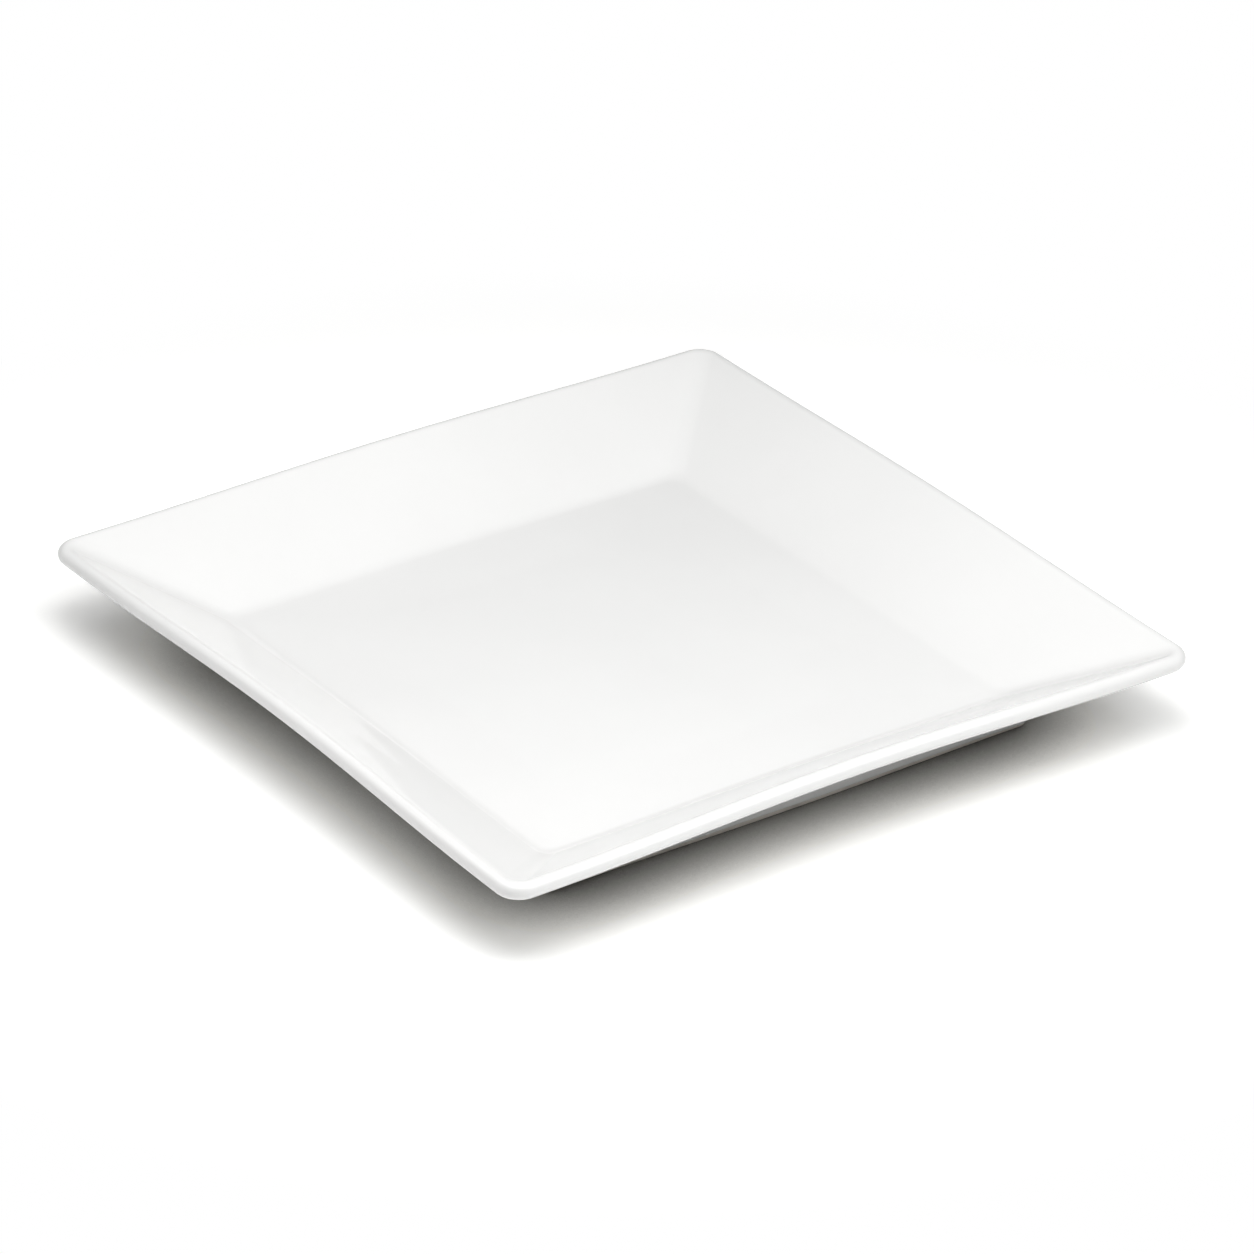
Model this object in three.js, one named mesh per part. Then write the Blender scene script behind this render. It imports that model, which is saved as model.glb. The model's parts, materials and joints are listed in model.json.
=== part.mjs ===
// A square shallow bowl in white porcelain: the fired clay body and the two coats of glaze on it.
// Millimetres, +Z up. The origin is on the table, under the middle of the bowl.
// The sizes are those of the fired body, and the glaze lies on it with its own thickness.
import * as THREE from "three";

const { clamp, degToRad, lerp } = THREE.MathUtils;

// Rim
const RIM_WIDTH = 255.4; // across two opposite sides, measured beside a corner
const RIM_HEIGHT = 30.4; // from the table to the top of the lip at a corner
const RIM_CORNER = 8; // plan radius of the rim's outermost line
const RIM_LIFT = 2.2; // how much higher the lip runs at the middle of a side
const RIM_DRAW = 1; // how far the lip is drawn in at the middle of a side
const LIP_THICKNESS = 4.8; // the lip is a full round of this thickness

// Well and sides
const WELL_WIDTH = 175.4; // between the lines where floor and sides would meet
const WELL_LEVEL = 9.5; // from the table to the floor of the well
const WELL_CORNER = 5; // plan radius of the well's corners
const WELL_FILLET = 10; // section radius where the floor turns up into a side
const FLAT_WIDTH = 124; // the middle of the floor, which stays flat
const WALL_THICKNESS = 5.4; // of a side beside the well
const FLOOR_THICKNESS = 5;

// Foot
const FOOT_WIDTH = 185; // across the outer faces, at the table
const FOOT_BREADTH = 6; // of the ring that stands on the table
const FOOT_CORNER = 4; // plan radius of the outer face's corners
const FOOT_BOW = 1.2; // how far the ring swells out at the middle of a side
const FOOT_DRAFT = degToRad(10); // lean of its two faces away from upright
const FOOT_EDGE = 1; // section radius of its two edges at the table
const SHOULDER_FILLET = 3; // section radius where the foot meets the side above it
const RECESS_FILLET = 1.5; // section radius where the foot meets the base inside the ring

// Glaze
const GLAZE_THICKNESS = 0.3;
const BARE_HEIGHT = 1.5; // the foot is wiped clean of glaze up to here

// Facets
const SIDE_STEPS = 8;
const CORNER_STEPS = 5;
const LIP_STEPS = 9;
const FILLET_STEPS = 3;
const EDGE_STEPS = 2;

// Section of the body, with x as the half-width of a ring round the bowl and y as its height.
const point = (half, height) => new THREE.Vector2(half, height);
const heading = (angle) => point(Math.cos(angle), Math.sin(angle));

// The arc that rounds a corner of the section, as points from one tangent to the other.
function roundCorner(before, corner, after, radius, steps) {
  const back = before.clone().sub(corner).normalize();
  const ahead = after.clone().sub(corner).normalize();
  const half = back.angleTo(ahead) / 2;
  const centre = back.clone().add(ahead).setLength(radius / Math.sin(half)).add(corner);
  const start = back.clone().multiplyScalar(radius / Math.tan(half)).add(corner);
  const turn = Math.sign(back.cross(ahead)) * (2 * half - Math.PI);
  return Array.from({ length: steps + 1 }, (_, i) => start.clone().rotateAround(centre, (turn * i) / steps));
}

// Where the line through a point at a given angle meets the level of another height.
const alongTo = (from, angle, height) => point(from.x + (height - from.y) / Math.tan(angle), height);

// The lip is a circle, and each face of the side is a straight line that runs onto it.
const lipRadius = LIP_THICKNESS / 2;
const lipCentre = point(RIM_WIDTH / 2 - lipRadius, RIM_HEIGHT - lipRadius);

function slopeToLip(from, side) {
  const reach = lipCentre.clone().sub(from);
  return reach.angle() + side * Math.asin(lipRadius / reach.length());
}

const wellEdge = point(WELL_WIDTH / 2, WELL_LEVEL);
const innerSlope = slopeToLip(wellEdge, 1);
const underWellEdge = heading(innerSlope - Math.PI / 2).multiplyScalar(WALL_THICKNESS).add(wellEdge);
const outerSlope = slopeToLip(underWellEdge, -1);
const lipTurn = Math.PI + innerSlope - outerSlope;
const lip = Array.from({ length: LIP_STEPS + 1 }, (_, i) =>
  heading(innerSlope + Math.PI / 2 - (lipTurn * i) / LIP_STEPS).multiplyScalar(lipRadius).add(lipCentre),
);

// The foot's faces lean together towards the table, so that the bowl leaves its mould.
const recessLevel = WELL_LEVEL - FLOOR_THICKNESS;
const outerToe = point(FOOT_WIDTH / 2, 0);
const innerToe = point(FOOT_WIDTH / 2 - FOOT_BREADTH, 0);
const outerFace = Math.PI / 2 - FOOT_DRAFT;
const innerFace = Math.PI / 2 + FOOT_DRAFT;
const lowestLip = lip[LIP_STEPS];
const wallAtTable = alongTo(lowestLip, outerSlope, 0);
const shoulderHeight = (outerToe.x - wallAtTable.x) / (1 / Math.tan(outerSlope) - Math.tan(FOOT_DRAFT));
const shoulder = alongTo(outerToe, outerFace, shoulderHeight);
const outerGlazeLine = alongTo(outerToe, outerFace, BARE_HEIGHT);
const innerGlazeLine = alongTo(innerToe, innerFace, BARE_HEIGHT);
const recessEdge = alongTo(innerToe, innerFace, recessLevel);
const flatEdge = point(FLAT_WIDTH / 2, WELL_LEVEL);
const underFlat = point(FLAT_WIDTH / 2, recessLevel);

const insideSection = [
  flatEdge,
  ...roundCorner(flatEdge, wellEdge, lip[0], WELL_FILLET, FILLET_STEPS),
  ...lip,
];
const outsideSection = [
  ...roundCorner(lowestLip, shoulder, outerGlazeLine, SHOULDER_FILLET, FILLET_STEPS),
  outerGlazeLine,
];
const bareSection = [
  ...roundCorner(outerGlazeLine, outerToe, innerToe, FOOT_EDGE, EDGE_STEPS),
  ...roundCorner(outerToe, innerToe, innerGlazeLine, FOOT_EDGE, EDGE_STEPS),
];
const recessSection = [
  innerGlazeLine,
  ...roundCorner(innerGlazeLine, recessEdge, underFlat, RECESS_FILLET, FILLET_STEPS),
];

// A ring round the bowl is a square with rounded corners, whose sides bow and rise in their middles.
// Its shape runs evenly from that of the well's edge, or of the foot, to that of the lip.
const wellPlan = { half: WELL_WIDTH / 2, corner: WELL_CORNER, bow: 0 };
const footPlan = { half: FOOT_WIDTH / 2, corner: FOOT_CORNER, bow: FOOT_BOW };

const riseAt = (half) => (RIM_LIFT * Math.max(0, half - FLAT_WIDTH / 2)) / (lipCentre.x - FLAT_WIDTH / 2);
const groundedRise = ({ x, y }) => riseAt(x) * clamp(y / shoulder.y, 0, 1);

function ring({ x: half, y: height }, plan, rise) {
  const nearness = clamp((half - plan.half) / (lipCentre.x - plan.half), 0, 1);
  const shrink = Math.min(1, half / plan.half);
  const blended = shrink * lerp(plan.corner, RIM_CORNER - lipRadius, nearness);
  const corner = Math.max(blended, RIM_CORNER - RIM_WIDTH / 2 + half);
  const bow = shrink * lerp(plan.bow, -RIM_DRAW, nearness);
  const straight = half - corner;
  const side = [];
  for (let i = 0; i <= SIDE_STEPS; i++) {
    const along = (2 * i) / SIDE_STEPS - 1;
    const swell = (1 + Math.cos(Math.PI * along)) / 2;
    side.push(new THREE.Vector3(-along * straight, half + bow * swell, height + rise * swell));
  }
  for (let i = 1; i < CORNER_STEPS; i++) {
    const turn = (Math.PI / 2) * (i / CORNER_STEPS);
    const out = heading(turn).multiplyScalar(corner);
    side.push(new THREE.Vector3(-straight - out.y, straight + out.x, height));
  }
  const up = new THREE.Vector3(0, 0, 1);
  return [0, 1, 2, 3].flatMap((k) => side.map((p) => p.clone().applyAxisAngle(up, (k * Math.PI) / 2)));
}

const insideRings = insideSection.map((p) => ring(p, wellPlan, riseAt(p.x)));
const [outsideRings, bareRings, recessRings] = [outsideSection, bareSection, recessSection].map((section) =>
  section.map((p) => ring(p, footPlan, groundedRise(p))),
);
const coatedRings = [...insideRings, ...outsideRings];
const bodyRings = [...coatedRings, ...bareRings, ...recessRings];

// The body's rings moved out by the glaze's thickness, square to the surface at every point.
const glazedRings = bodyRings.map((here, i) => {
  const before = bodyRings[i - 1] ?? here;
  const after = bodyRings[i + 1] ?? here;
  return here.map((p, j) => {
    const along = here[(j + 1) % here.length].clone().sub(here.at(j - 1));
    const across = after[j].clone().sub(before[j]);
    return across.cross(along).setLength(GLAZE_THICKNESS).add(p);
  });
});
const glazedCoat = glazedRings.slice(0, coatedRings.length);
const glazedRecess = glazedRings.slice(-recessRings.length);

// Surfaces: a strip of triangles between two rings, and a flat fan that closes a ring at its middle.
function strip(one, two) {
  return one.flatMap((p, j) => {
    const next = (j + 1) % one.length;
    return [p, one[next], two[next], p, two[next], two[j]];
  });
}

function fan(rim) {
  const middle = new THREE.Vector3(0, 0, rim[0].z);
  return rim.flatMap((p, j) => [middle, p, rim[(j + 1) % rim.length]]);
}

const sheet = (rings) => rings.slice(1).flatMap((here, i) => strip(here, rings[i]));
const turnedOver = (corners) => corners.map((_, i) => corners[i % 3 ? i + 3 - 2 * (i % 3) : i]);

function piece(name, corners, colour, roughness) {
  const geometry = new THREE.BufferGeometry().setFromPoints(corners);
  geometry.computeVertexNormals();
  const material = new THREE.MeshStandardMaterial({ color: colour, roughness, metalness: 0 });
  const mesh = new THREE.Mesh(geometry, material);
  mesh.name = name;
  return mesh;
}

// The fired body, bare only on the ring that it stands on.
const body = piece(
  "porcelain_body",
  [...fan(bodyRings[0]), ...sheet(bodyRings), ...turnedOver(fan(bodyRings.at(-1)))],
  0xf1eee8,
  0.8,
);

// The main coat: over the well, the sides, the lip and the outside, down to the wiped foot.
const coat = piece(
  "glaze_coat",
  [
    ...fan(glazedCoat[0]),
    ...sheet(glazedCoat),
    ...strip(coatedRings.at(-1), glazedCoat.at(-1)),
    ...turnedOver(sheet(coatedRings)),
    ...turnedOver(fan(coatedRings[0])),
  ],
  0xf7f8f7,
  0.08,
);

// The coat on the base inside the foot ring, which the bare ring parts from the main one.
const recess = piece(
  "foot_recess_glaze",
  [
    ...strip(glazedRecess[0], recessRings[0]),
    ...sheet(glazedRecess),
    ...turnedOver(fan(glazedRecess.at(-1))),
    ...turnedOver(sheet(recessRings)),
    ...fan(recessRings.at(-1)),
  ],
  0xf4f5f4,
  0.12,
);

const bowl = new THREE.Group();
bowl.add(body, coat, recess);

export default bowl;
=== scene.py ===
# %% [markdown]
# # A square shallow bowl in glazed porcelain
# The bowl is one piece of white clay, pressed in a mould, fired, dipped in glaze and fired again. Three
# things are on the bench: the clay body, the coat of glaze over it, and a second coat on the base inside
# the foot ring. The plain solids of all three come from the frame, at their real size. This lesson gives
# each of them a fine surface of the same shape, a finish, a floor to stand on and studio light.

# %% Load the frame
import json
import math

import bpy
import numpy as np
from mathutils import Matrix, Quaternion, Vector

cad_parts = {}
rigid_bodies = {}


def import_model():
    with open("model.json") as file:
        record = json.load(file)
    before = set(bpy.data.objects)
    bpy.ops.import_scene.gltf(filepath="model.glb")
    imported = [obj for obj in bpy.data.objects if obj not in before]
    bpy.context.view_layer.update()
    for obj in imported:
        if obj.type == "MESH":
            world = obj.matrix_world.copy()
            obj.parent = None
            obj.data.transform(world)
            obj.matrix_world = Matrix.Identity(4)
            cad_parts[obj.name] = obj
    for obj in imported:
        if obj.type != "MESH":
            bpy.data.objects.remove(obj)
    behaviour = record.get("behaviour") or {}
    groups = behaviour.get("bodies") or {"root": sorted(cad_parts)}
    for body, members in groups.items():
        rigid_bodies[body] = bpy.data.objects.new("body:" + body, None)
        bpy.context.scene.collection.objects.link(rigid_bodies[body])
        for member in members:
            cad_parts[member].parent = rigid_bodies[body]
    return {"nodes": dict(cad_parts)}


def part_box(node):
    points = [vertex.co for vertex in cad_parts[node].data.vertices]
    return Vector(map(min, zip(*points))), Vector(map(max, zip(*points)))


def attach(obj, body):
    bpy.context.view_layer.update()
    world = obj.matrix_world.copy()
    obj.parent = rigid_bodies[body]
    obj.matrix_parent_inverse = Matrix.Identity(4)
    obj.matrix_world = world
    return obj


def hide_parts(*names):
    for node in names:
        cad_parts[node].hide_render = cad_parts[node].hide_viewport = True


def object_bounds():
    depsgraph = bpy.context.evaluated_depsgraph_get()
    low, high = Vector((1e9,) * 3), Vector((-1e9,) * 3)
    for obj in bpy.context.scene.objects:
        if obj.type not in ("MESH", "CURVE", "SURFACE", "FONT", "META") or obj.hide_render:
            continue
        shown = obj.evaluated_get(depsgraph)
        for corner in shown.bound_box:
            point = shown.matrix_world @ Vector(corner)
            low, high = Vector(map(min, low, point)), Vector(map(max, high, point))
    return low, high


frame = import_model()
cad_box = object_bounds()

MM = 0.001
lowest, highest = (np.array(corner) / MM for corner in cad_box)
print("frame nodes:", sorted(frame["nodes"]))
print("bowl in mm:", np.round(highest - lowest, 2))

# %% [markdown]
# ## The section
# Cut through the middle of a side, the bowl shows a flat floor, a straight side that leans out, a lip that
# is a full round, and a foot ring. A bowl of this kind could be cut from a block or pushed up from a plane,
# but a potter's drawing is a section, so the section comes first here. Every point of it is a half-width
# and a height in millimetres. The outside width, the height and the glaze come from the frame, so they
# can't differ. A few thousandths of a millimetre are taken off, so that no coat outgrows the solid that it
# stands for.

# %% Sizes of the body, in millimetres
GLAZE = (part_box("glaze_coat")[1].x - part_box("porcelain_body")[1].x) / MM
INSET = 0.005
RIM_LIFT = 2.2
RIM_DRAW = 1.0
RIM_CORNER = 8.0
RIM_HALF = highest[0] - GLAZE - INSET
RIM_HEIGHT = highest[2] - GLAZE - INSET - RIM_LIFT
LIP_RADIUS = 2.4
WELL_HALF = 87.7
WELL_LEVEL = 9.5
WELL_CORNER = 5.0
WELL_FILLET = 10.0
FLAT_HALF = 62.0
WALL = 5.4
FLOOR = 5.0
FOOT_HALF = 92.5
FOOT_BREADTH = 6.0
FOOT_CORNER = 4.0
FOOT_BOW = 1.2
FOOT_DRAFT = math.radians(10)
FOOT_EDGE = 1.0
SHOULDER_FILLET = 3.0
RECESS_FILLET = 1.5
BARE_HEIGHT = 1.5
print("lip at a corner:", round(RIM_HEIGHT + GLAZE, 2), "mm high, coat of glaze:", round(GLAZE, 2), "mm")

# %% [markdown]
# A section is drawn with two strokes: a straight stretch, and a fillet that rounds the corner between two
# stretches. Both give several points, so that the surface bends evenly where light runs over it.

# %% Two strokes for drawing the section
SPACING = 3.5


def stretch(start, end):
    count = max(2, math.ceil(np.linalg.norm(end - start) / SPACING) + 1)
    return [start + (end - start) * share for share in np.linspace(0, 1, count)]


def spun(arm, turn):
    return np.array([arm[0] * math.cos(turn) - arm[1] * math.sin(turn),
                     arm[0] * math.sin(turn) + arm[1] * math.cos(turn)])


def fillet(before, corner, after, radius, steps):
    back = (before - corner) / np.linalg.norm(before - corner)
    ahead = (after - corner) / np.linalg.norm(after - corner)
    half = math.acos(back @ ahead) / 2
    centre = corner + (back + ahead) / np.linalg.norm(back + ahead) * radius / math.sin(half)
    arm = corner + back * radius / math.tan(half) - centre
    way = math.copysign(math.pi - 2 * half, ahead[0] * back[1] - ahead[1] * back[0])
    return [centre + spun(arm, turn) for turn in np.linspace(0, way, steps + 1)]


def along_to(start, angle, height):
    return np.array([start[0] + (height - start[1]) / math.tan(angle), height])


def joined(*strokes):
    points = list(strokes[0])
    for stroke in strokes[1:]:
        points += stroke[1:]
    return points


print("a stretch has a point every", SPACING, "mm at most")

# %% [markdown]
# The lip is a circle, and both faces of the side run straight onto it. Their slopes follow from that: the
# inner face starts where the floor ends, and the outer face starts one wall's thickness below it.

# %% The lip and the slopes of the side
LIP_STEPS = 16
lip_centre = np.array([RIM_HALF - LIP_RADIUS, RIM_HEIGHT - LIP_RADIUS])
well_edge = np.array([WELL_HALF, WELL_LEVEL])


def slope_to_lip(start, side):
    reach = lip_centre - start
    return math.atan2(reach[1], reach[0]) + side * math.asin(LIP_RADIUS / np.linalg.norm(reach))


def lip_arc(start, end):
    arm = np.array([LIP_RADIUS, 0.0])
    return [lip_centre + spun(arm, turn) for turn in np.linspace(start, end, LIP_STEPS + 1)]


inner_slope = slope_to_lip(well_edge, 1)
under_edge = well_edge + WALL * np.array([math.sin(inner_slope), -math.cos(inner_slope)])
outer_slope = slope_to_lip(under_edge, -1)
upper_lip = lip_arc(inner_slope + math.pi / 2, 0)
lower_lip = lip_arc(0, outer_slope - math.pi / 2)
print("side leans at", round(math.degrees(inner_slope), 1), "degrees inside,",
      round(math.degrees(outer_slope), 1), "outside")

# %% [markdown]
# The foot ring keeps the hot glaze off the kiln shelf and the bowl off the table. Its two faces lean
# together towards the table, or the bowl would stick in its mould, and its outer face runs up until it
# meets the side.

# %% The foot ring
base_level = WELL_LEVEL - FLOOR
outer_toe = np.array([FOOT_HALF, 0.0])
inner_toe = np.array([FOOT_HALF - FOOT_BREADTH, 0.0])
outer_face = math.pi / 2 - FOOT_DRAFT
inner_face = math.pi / 2 + FOOT_DRAFT
wall_at_table = along_to(lower_lip[-1], outer_slope, 0.0)
shoulder_height = (outer_toe[0] - wall_at_table[0]) / (1 / math.tan(outer_slope) - math.tan(FOOT_DRAFT))
shoulder = along_to(outer_toe, outer_face, shoulder_height)
outer_line = along_to(outer_toe, outer_face, BARE_HEIGHT)
inner_line = along_to(inner_toe, inner_face, BARE_HEIGHT)
recess_edge = along_to(inner_toe, inner_face, base_level)
print("foot ring meets the side", round(shoulder_height, 2), "mm above the table")

# %% [markdown]
# The strokes are now put in order: from the middle of the floor to the lip, down the outside to the foot,
# across the ring that stands on the table, and over the base to its middle. Glaze would melt onto the kiln
# shelf, so the foot is wiped before firing. The runs part where the wiped band starts and ends.

# %% The section in four runs
BEND_STEPS = 10
MIDDLE = 2.0
middle_top = np.array([MIDDLE, WELL_LEVEL])
flat_edge = np.array([FLAT_HALF, WELL_LEVEL])
middle_base = np.array([MIDDLE, base_level])
well_bend = fillet(flat_edge, well_edge, upper_lip[0], WELL_FILLET, BEND_STEPS)
shoulder_bend = fillet(lower_lip[-1], shoulder, outer_line, SHOULDER_FILLET, BEND_STEPS)
outer_bend = fillet(outer_line, outer_toe, inner_toe, FOOT_EDGE, BEND_STEPS)
inner_bend = fillet(outer_toe, inner_toe, inner_line, FOOT_EDGE, BEND_STEPS)
recess_bend = fillet(inner_line, recess_edge, middle_base, RECESS_FILLET, BEND_STEPS)

inside_run = joined(stretch(middle_top, flat_edge), stretch(flat_edge, well_bend[0]), well_bend,
                    stretch(well_bend[-1], upper_lip[0]), upper_lip)
outside_run = joined(lower_lip, stretch(lower_lip[-1], shoulder_bend[0]), shoulder_bend)
bare_run = joined(stretch(shoulder_bend[-1], outer_bend[0]), outer_bend,
                  stretch(outer_bend[-1], inner_bend[0]), inner_bend,
                  stretch(inner_bend[-1], recess_bend[0]))
recess_run = joined(recess_bend, stretch(recess_bend[-1], middle_base))
print("points in the section:", len(inside_run), len(outside_run), len(bare_run), len(recess_run))

# %% [markdown]
# ## From the section to the square
# A round bowl would be this section spun about its axis. Here each point of the section runs round a square
# with rounded corners. The sides of the square aren't quite straight: drying clay draws the lip in and
# lifts it a little at the middle of each side, and lets the foot swell out. That arch is what makes the
# bowl look real.

# %% A ring round the bowl for each point of the section
SIDE_STEPS = 32
CORNER_STEPS = 12
WELL_PLAN = (WELL_HALF, WELL_CORNER, 0.0)
FOOT_PLAN = (FOOT_HALF, FOOT_CORNER, FOOT_BOW)


def square_ring(point, plan):
    half, height = point
    plan_half, plan_corner, plan_bow = plan
    nearness = np.clip((half - plan_half) / (lip_centre[0] - plan_half), 0, 1)
    shrink = min(1, half / plan_half)
    corner = shrink * (plan_corner + (RIM_CORNER - LIP_RADIUS - plan_corner) * nearness)
    corner = max(corner, RIM_CORNER - RIM_HALF + half)
    bow = shrink * (plan_bow - (RIM_DRAW + plan_bow) * nearness)
    rise = RIM_LIFT * max(0, half - FLAT_HALF) / (lip_centre[0] - FLAT_HALF)
    rise *= np.clip(height / shoulder_height, 0, 1)
    straight = half - corner
    along = np.linspace(1, -1, SIDE_STEPS + 1)
    swell = (1 + np.cos(math.pi * along)) / 2
    turn = np.linspace(0, math.pi / 2, CORNER_STEPS + 1)[1:-1]
    x = np.append(along * straight, -straight - corner * np.sin(turn))
    y = np.append(half + bow * swell, straight + corner * np.cos(turn))
    z = np.append(height + rise * swell, np.full_like(turn, height))
    sides = [(x, y, z), (-y, x, z), (-x, -y, z), (y, -x, z)]
    return np.vstack([np.column_stack(side) for side in sides])


inside_rings = [square_ring(point, WELL_PLAN) for point in inside_run]
outside_rings = [square_ring(point, FOOT_PLAN) for point in outside_run]
bare_rings = [square_ring(point, FOOT_PLAN) for point in bare_run]
recess_rings = [square_ring(point, FOOT_PLAN) for point in recess_run]
print("points in a ring:", len(inside_rings[0]))

# %% [markdown]
# ## The clay body
# Rings laid side by side make a skin: each quad joins two neighbours on one ring to the same two on the
# next. The body's skin runs all the way round the section, and a small lid closes it at the middle of the
# floor and at the middle of the base, so that it is one closed solid, as the clay is.

# %% The body's mesh


def put(name, data):
    thing = bpy.data.objects.new(name, data)
    bpy.context.collection.objects.link(thing)
    return thing


def skin(name, rings, lid_first=False, lid_last=False):
    count = len(rings[0])
    faces = []
    for row in range(len(rings) - 1):
        for step in range(count):
            here = row * count + step
            ahead = row * count + (step + 1) % count
            faces.append((here, here + count, ahead + count, ahead))
    if lid_first:
        faces.append(tuple(range(count)))
    if lid_last:
        faces.append(tuple(range(len(rings) * count - 1, (len(rings) - 1) * count - 1, -1)))
    mesh = bpy.data.meshes.new(name)
    mesh.from_pydata((np.vstack(rings) * MM).tolist(), [], faces)
    mesh.shade_smooth()
    return put(name, mesh)


body_rings = inside_rings + outside_rings[1:] + bare_rings[1:] + recess_rings[1:]
body = skin("clay_body", body_rings, lid_first=True, lid_last=True)
print("clay body:", len(body.data.polygons), "faces")

# %% [markdown]
# ## The two coats of glaze
# Glaze is a skin of glass, about a third of a millimetre thick. Blender's Solidify modifier grows such a
# skin square to a surface, which is what dipping does, so each coat is a copy of the body's own skin with
# that modifier. A sponge wiped the foot by hand, so the edge wavers a little, and surface tension rounded
# it in the kiln. So a few rings lead each coat to a wavering edge, and a depth for each ring says how thick
# the glaze is there.

# %% The wiped edge of a coat
EDGE_ROUND = 0.5
EDGE_STEPS = 6
WAVER = [(0.12, 5, 0.4), (0.09, 11, 2.1), (0.05, 23, 1.2)]


def wiped_edge(above, line, phase):
    around = np.linspace(0, 2 * math.pi, 4 * (SIDE_STEPS + CORNER_STEPS), endpoint=False)
    waver = sum(size * np.sin(waves * around + start + phase) for size, waves, start in WAVER)
    high = square_ring(above, FOOT_PLAN)
    low = square_ring(line, FOOT_PLAN)
    reach = np.linalg.norm(high - low, axis=1)
    end = 1 - waver / reach
    back = EDGE_ROUND * (1 - np.sin(np.linspace(0, math.pi / 2, EDGE_STEPS + 1)))
    rings = [high + (low - high) * (end - away / reach)[:, None] for away in back]
    return rings, np.sqrt(1 - (1 - back / EDGE_ROUND) ** 2)


outer_edge, edge_depth = wiped_edge(shoulder_bend[-1], outer_line, phase=0.0)
inner_edge, _ = wiped_edge(recess_bend[0], inner_line, phase=3.0)
print("the wiped edge wavers by", sum(size for size, _, _ in WAVER), "mm at most")

# %% [markdown]
# The depths go into a vertex group, and Solidify reads it: the coat is full where the weight is one and
# almost gone where it is nought. A little thickness stays there, or the skin's two sides would fall
# together.

# %% The coats as skins with a thickness
THINNEST = 0.08


def coat(name, rings, depths, **lids):
    piece = skin(name, rings, **lids)
    group = piece.vertex_groups.new(name="glaze depth")
    count = len(rings[0])
    for row, depth in enumerate(depths):
        group.add(range(row * count, (row + 1) * count), depth, "REPLACE")
    grow = piece.modifiers.new("Glaze", "SOLIDIFY")
    grow.thickness = GLAZE * MM
    grow.offset = 1
    grow.use_even_offset = True
    grow.vertex_group = group.name
    grow.thickness_vertex_group = THINNEST
    return piece


glazed_rings = inside_rings + outside_rings[1:]
main_coat = coat("main_glaze_coat", glazed_rings + outer_edge,
                 [1.0] * len(glazed_rings) + list(edge_depth), lid_first=True)
base_coat = coat("base_glaze_coat", inner_edge[::-1] + recess_rings,
                 list(edge_depth[::-1]) + [1.0] * len(recess_rings), lid_last=True)
for piece in (main_coat, base_coat):
    print(piece.name, len(piece.data.polygons), "faces before it gets its thickness")

# %% [markdown]
# ## Finishes
# A finish is a small network of nodes. One function starts an empty one, another adds a node, sets it and
# links it, and a third turns the colour that an eye reads off a screen, a hex value, into the linear light
# that the renderer adds up. The scale of a pattern is worked out from its real size in millimetres.

# %% Helpers for finishes


def new_finish(name):
    finish = bpy.data.materials.new(name)
    finish.use_nodes = True
    finish.node_tree.nodes.clear()
    return finish, finish.node_tree


def linear(code):
    parts = [int(code[place:place + 2], 16) / 255 for place in (1, 3, 5)]
    return (*[p / 12.92 if p <= 0.04045 else ((p + 0.055) / 1.055) ** 2.4 for p in parts], 1.0)


def add_node(tree, kind, values=None, links=None, **settings):
    node = tree.nodes.new(kind)
    for name, value in settings.items():
        setattr(node, name, value)
    for socket, value in (values or {}).items():
        node.inputs[socket].default_value = value
    for socket, source in (links or {}).items():
        tree.links.new(source, node.inputs[socket])
    return node


def per_metre(size_mm):
    return 1 / (size_mm * MM)


print("a pattern of 5 mm has a scale of", per_metre(5))

# %% [markdown]
# ### Glazed porcelain
# The glaze is clear glass over white clay: what the eye gets is a bright white with a sharp gloss on top.
# It is never quite even. Over a hand's breadth the white drifts by a shade, and the glass cools with a
# faint ripple, a few millimetres from crest to crest, which makes reflections swim a little.

# %% Glazed porcelain
GLAZE_IOR = 1.52
WHITES = [(0.3, "#F5F5F4"), (0.7, "#F7F7F6")]
SMOOTHEST, DULLEST = 0.02, 0.045
DRIFT = 45.0
RIPPLE = 7.0
RIPPLE_HEIGHT = 0.0008
MATT_SPOTS = 18.0


def glazed_porcelain():
    finish, tree = new_finish("glazed porcelain")
    place = add_node(tree, "ShaderNodeTexCoord").outputs["Object"]
    drift = add_node(tree, "ShaderNodeTexNoise", {"Scale": per_metre(DRIFT), "Detail": 3.0},
                     {"Vector": place})
    white = add_node(tree, "ShaderNodeValToRGB", links={"Fac": drift.outputs["Fac"]})
    for stop, (spot, code) in zip(white.color_ramp.elements, WHITES):
        stop.position = spot
        stop.color = linear(code)
    spots = add_node(tree, "ShaderNodeTexNoise", {"Scale": per_metre(MATT_SPOTS)}, {"Vector": place})
    gloss = add_node(tree, "ShaderNodeMapRange", {"To Min": SMOOTHEST, "To Max": DULLEST},
                     {"Value": spots.outputs["Fac"]})
    ripple = add_node(tree, "ShaderNodeTexNoise", {"Scale": per_metre(RIPPLE), "Detail": 1.0},
                      {"Vector": place})
    bump = add_node(tree, "ShaderNodeBump", {"Strength": 1.0, "Distance": RIPPLE_HEIGHT * MM},
                    {"Height": ripple.outputs["Fac"]})
    surface = add_node(tree, "ShaderNodeBsdfPrincipled", {"IOR": GLAZE_IOR},
                       {"Base Color": white.outputs["Color"], "Roughness": gloss.outputs["Result"],
                        "Normal": bump.outputs["Normal"]})
    add_node(tree, "ShaderNodeOutputMaterial", links={"Surface": surface.outputs["BSDF"]})
    return finish


glaze = glazed_porcelain()
main_coat.data.materials.append(glaze)
base_coat.data.materials.append(glaze)
print(glaze.name, "has", len(glaze.node_tree.nodes), "nodes")

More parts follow.
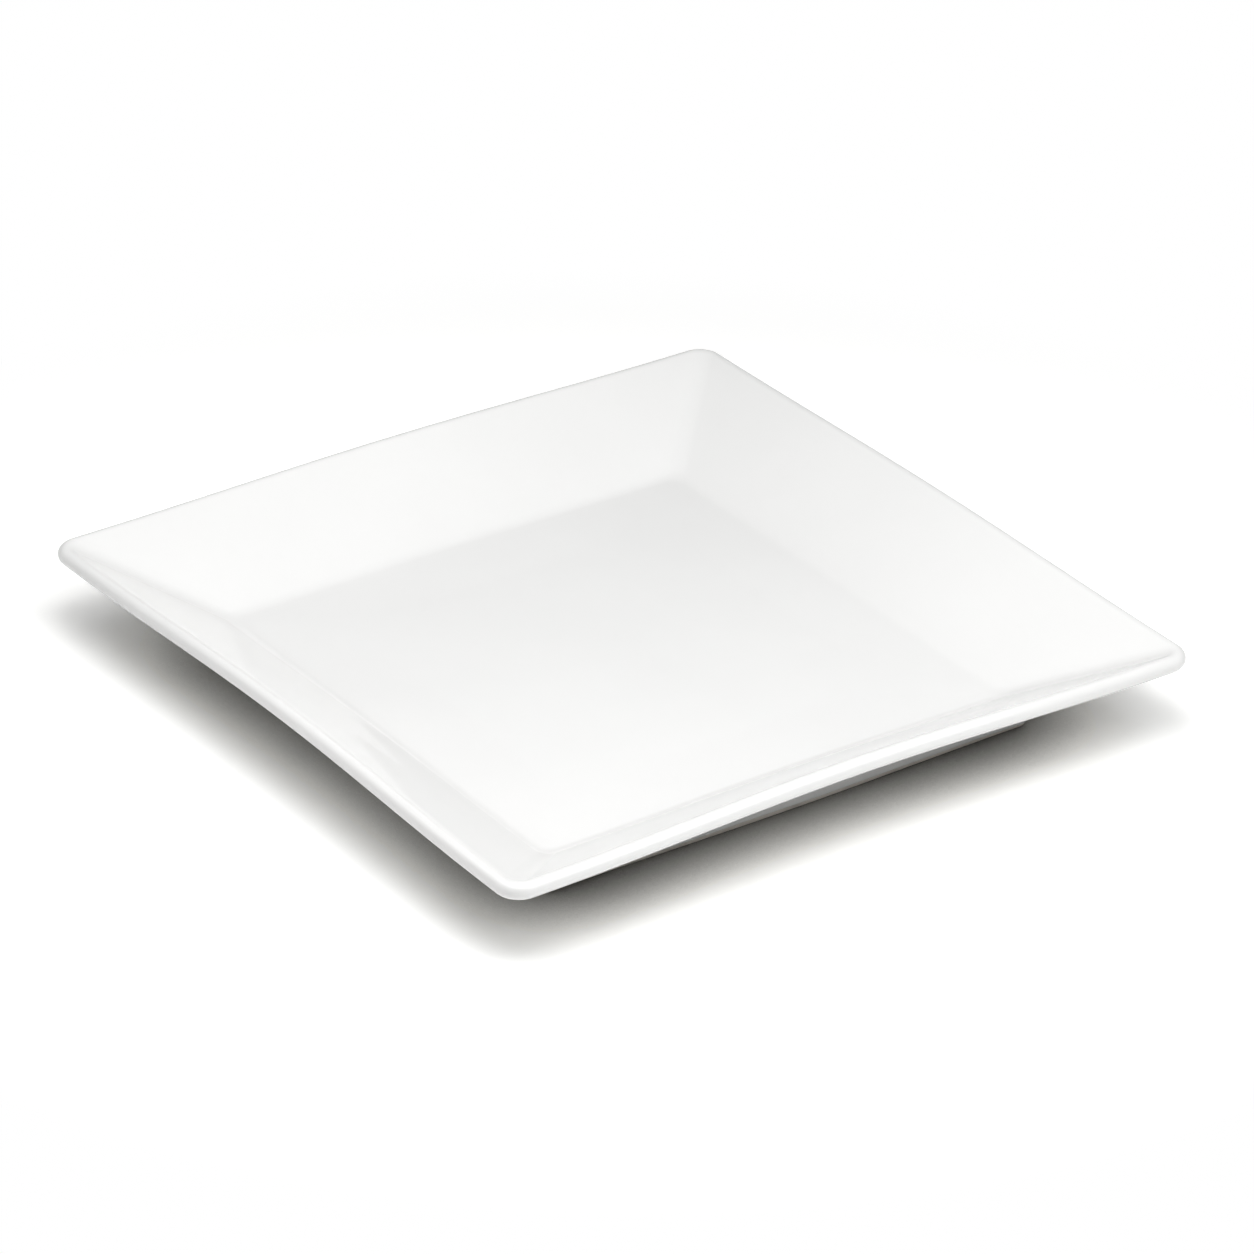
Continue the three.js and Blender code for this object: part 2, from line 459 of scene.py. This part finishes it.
# %% [markdown]
# ### Bare porcelain
# Where the sponge went, the fired clay itself shows: matte, a shade warmer than the glaze, with a fine grit
# and a few grey rubs from shelves and tables. The grit of real porcelain is finer than a picture shows, so
# it is drawn a little coarser here.

# %% Bare porcelain
CLAY_IOR = 1.5
CLAY_ROUGHNESS = 0.75
CLAY_TONES = [(0.25, "#D3CEC6"), (0.55, "#E9E4DB")]
GRIT = 0.4
GRIT_HEIGHT = 0.02
RUBS = 9.0


def bare_porcelain():
    finish, tree = new_finish("bare porcelain")
    place = add_node(tree, "ShaderNodeTexCoord").outputs["Object"]
    rubs = add_node(tree, "ShaderNodeTexNoise", {"Scale": per_metre(RUBS), "Detail": 6.0},
                    {"Vector": place})
    clay = add_node(tree, "ShaderNodeValToRGB", links={"Fac": rubs.outputs["Fac"]})
    for stop, (spot, code) in zip(clay.color_ramp.elements, CLAY_TONES):
        stop.position = spot
        stop.color = linear(code)
    grit = add_node(tree, "ShaderNodeTexNoise", {"Scale": per_metre(GRIT), "Detail": 2.0},
                    {"Vector": place})
    bump = add_node(tree, "ShaderNodeBump", {"Strength": 1.0, "Distance": GRIT_HEIGHT * MM},
                    {"Height": grit.outputs["Fac"]})
    surface = add_node(tree, "ShaderNodeBsdfPrincipled", {"IOR": CLAY_IOR, "Roughness": CLAY_ROUGHNESS},
                       {"Base Color": clay.outputs["Color"], "Normal": bump.outputs["Normal"]})
    add_node(tree, "ShaderNodeOutputMaterial", links={"Surface": surface.outputs["BSDF"]})
    return finish


clay = bare_porcelain()
body.data.materials.append(clay)
print(clay.name, "has", len(clay.node_tree.nodes), "nodes")

# %% [markdown]
# ## The pieces take their places
# Each fine piece stands for one plain solid of the frame, which is hidden. The table also names that
# solid's slot, but the piece keeps the finish that it was given above.
# Nothing on a bowl moves, so all three ride on its one body.

# %% Ride on the frame
PLACES = [
    (body, "porcelain_body", "bare_porcelain"),
    (main_coat, "glaze_coat", "white_glaze"),
    (base_coat, "foot_recess_glaze", "white_glaze"),
]
for piece, node, slot in PLACES:
    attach(piece, "root")
    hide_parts(node)
    print(piece.name, "stands for", node)

# %% [markdown]
# ## The floor
# The bowl stands on a large white board. The camera and the gloss are to see it as pure white, and still
# see the shadow under the rim. So the board's paint is brighter for the eye than for the light that it
# throws back. An ambient occlusion node measures how far the bowl closes over the board, and a ramp paints
# that into the board's colour as a dark shade: a painted shadow under the rim, on top of the lamps' own
# shadow. The light that is thrown back gets the same painted shade, but softened. Far from the bowl the
# board fades into the even white of a studio's sweep.

# %% White board under the bowl
BOARD_SIZE = 4.0
SEEN_GAIN = 1.6
LIT_GAMMA = 0.5
SHADE_REACH = 0.03
# SHADES are the colours of the painted shadow on the board: dark where the bowl closes over it, white in
# the open
SHADES = [(0.12, "#52514E"), (0.42, "#D4D3D0"), (0.65, "#E2E2E1"), (1.0, "#F0F0EF")]
SWEEP_STARTS = 0.20
SWEEP_ENDS = 0.30


def white_board():
    finish, tree = new_finish("white board")
    # the board's colour carries a painted shadow: ambient occlusion, through the SHADES ramp, darkens it
    # under the rim; the light thrown back gets it softened
    openness = add_node(tree, "ShaderNodeAmbientOcclusion", {"Distance": SHADE_REACH})
    shade = add_node(tree, "ShaderNodeValToRGB", links={"Fac": openness.outputs["AO"]})
    for spot, _ in SHADES[1:-1]:
        shade.color_ramp.elements.new(spot)
    for stop, (spot, code) in zip(shade.color_ramp.elements, SHADES):
        stop.position = spot
        stop.color = linear(code)
    soft = add_node(tree, "ShaderNodeGamma", {"Gamma": LIT_GAMMA}, {"Color": shade.outputs["Color"]})
    lit = add_node(tree, "ShaderNodeBsdfDiffuse", links={"Color": soft.outputs["Color"]})
    bright = add_node(tree, "ShaderNodeVectorMath", {"Scale": SEEN_GAIN}, {0: shade.outputs["Color"]},
                      operation="SCALE")
    seen = add_node(tree, "ShaderNodeBsdfDiffuse", links={"Color": bright.outputs["Vector"]})
    sweep = add_node(tree, "ShaderNodeEmission", {"Color": linear("#FFFFFF"), "Strength": 1.0})
    place = add_node(tree, "ShaderNodeTexCoord").outputs["Object"]
    away = add_node(tree, "ShaderNodeVectorMath", links={0: place}, operation="LENGTH")
    fade = add_node(tree, "ShaderNodeMapRange", {"From Min": SWEEP_STARTS, "From Max": SWEEP_ENDS},
                    {"Value": away.outputs["Value"]}, interpolation_type="SMOOTHSTEP")
    white = add_node(tree, "ShaderNodeMixShader", links={0: fade.outputs["Result"], 1: seen.outputs["BSDF"],
                                                         2: sweep.outputs["Emission"]})
    rays = add_node(tree, "ShaderNodeLightPath").outputs
    mirrored = add_node(tree, "ShaderNodeMath", operation="MAXIMUM",
                        links={0: rays["Is Glossy Ray"], 1: rays["Is Transmission Ray"]})
    eye = add_node(tree, "ShaderNodeMath", operation="MAXIMUM",
                   links={0: rays["Is Camera Ray"], 1: mirrored.outputs["Value"]})
    paint = add_node(tree, "ShaderNodeMixShader", links={0: eye.outputs["Value"], 1: lit.outputs["BSDF"],
                                                         2: white.outputs["Shader"]})
    add_node(tree, "ShaderNodeOutputMaterial", links={"Surface": paint.outputs["Shader"]})
    return finish


board = bpy.data.meshes.new("white_board")
half = BOARD_SIZE / 2
corners = [(-half, -half, 0), (half, -half, 0), (half, half, 0), (-half, half, 0)]
board.from_pydata(corners, [], [(0, 1, 2, 3)])
board.materials.append(white_board())
floor = put("white_board", board)
print("board of", BOARD_SIZE, "m under the bowl")

# %% [markdown]
# ## Light
# White ware needs soft light from large lamps, or its own form is lost. Three softboxes hang about half a
# metre from the bowl: the strongest over its near corner, one to its right, and a weak one almost overhead.
# They are close, so their light falls off across the bowl, and that slow fall of tone is what shows the
# flat floor and the sides. A white room fills in the rest.

# %% Softboxes
AIM = Vector((0, 0, 0.02))
SOFTBOXES = {
    "front": ((0.20, -0.15, 0.60), 0.4, 2.09),
    "right": ((0.40, 0.15, 0.45), 0.4, 1.20),
    "top": ((-0.10, -0.20, 0.50), 0.4, 0.75),
}
for name, (place, width, watts) in SOFTBOXES.items():
    lamp = bpy.data.lights.new(name, "AREA")
    lamp.shape = "SQUARE"
    lamp.size = width
    lamp.energy = watts
    softbox = put(name, lamp)
    softbox.location = place
    softbox.rotation_mode = "QUATERNION"
    softbox.rotation_quaternion = (AIM - softbox.location).to_track_quat("-Z", "Y")
    print(name, "softbox:", width, "m wide,", watts, "W")

# %% [markdown]
# The room is an even glow from all sides. It keeps the shadow soft and gives the gloss something to mirror.

# %% The white room
ROOM = 0.215
world = bpy.data.worlds.new("white room")
world.use_nodes = True
bpy.context.scene.world = world
world.node_tree.nodes.clear()
room = add_node(world.node_tree, "ShaderNodeBackground", {"Color": linear("#FFFFFF"), "Strength": ROOM})
add_node(world.node_tree, "ShaderNodeOutputWorld", links={"Surface": room.outputs["Background"]})
print("the room shines at", ROOM)

# %% [markdown]
# ## Camera
# The picture was taken from about two metres with a long lens, so the far side of the bowl is hardly
# smaller than the near one. The camera stands off the bowl's middle at an azimuth and a height angle, looks
# at a point a little below and beside the middle, and is rolled by about a degree.

# %% Camera
AZIMUTH = math.radians(53.99)
ELEVATION = math.radians(28.71)
ROLL = math.radians(1.22)
DISTANCE = 2.089
LENS = 193.06
TURN_POINT = Vector((0, 0, 0.028))
ASIDE = 0.0035
BELOW = 0.0070

outward = Vector((math.sin(AZIMUTH) * math.cos(ELEVATION), -math.cos(AZIMUTH) * math.cos(ELEVATION),
                  math.sin(ELEVATION)))
level = outward.to_track_quat("Z", "Y") @ Quaternion((0, 0, 1), ROLL)
camera = put("camera", bpy.data.cameras.new("camera"))
camera.data.lens = LENS
camera.location = TURN_POINT + outward * DISTANCE
target = TURN_POINT + level @ Vector((ASIDE, -BELOW, 0))
camera.rotation_mode = "QUATERNION"
facing = (camera.location - target).to_track_quat("Z", "Y")
camera.rotation_quaternion = facing @ Quaternion((0, 0, 1), ROLL)
bpy.context.scene.camera = camera
bpy.context.scene.view_settings.view_transform = "Standard"
print("camera", round(DISTANCE, 3), "m away with a", LENS, "mm lens")
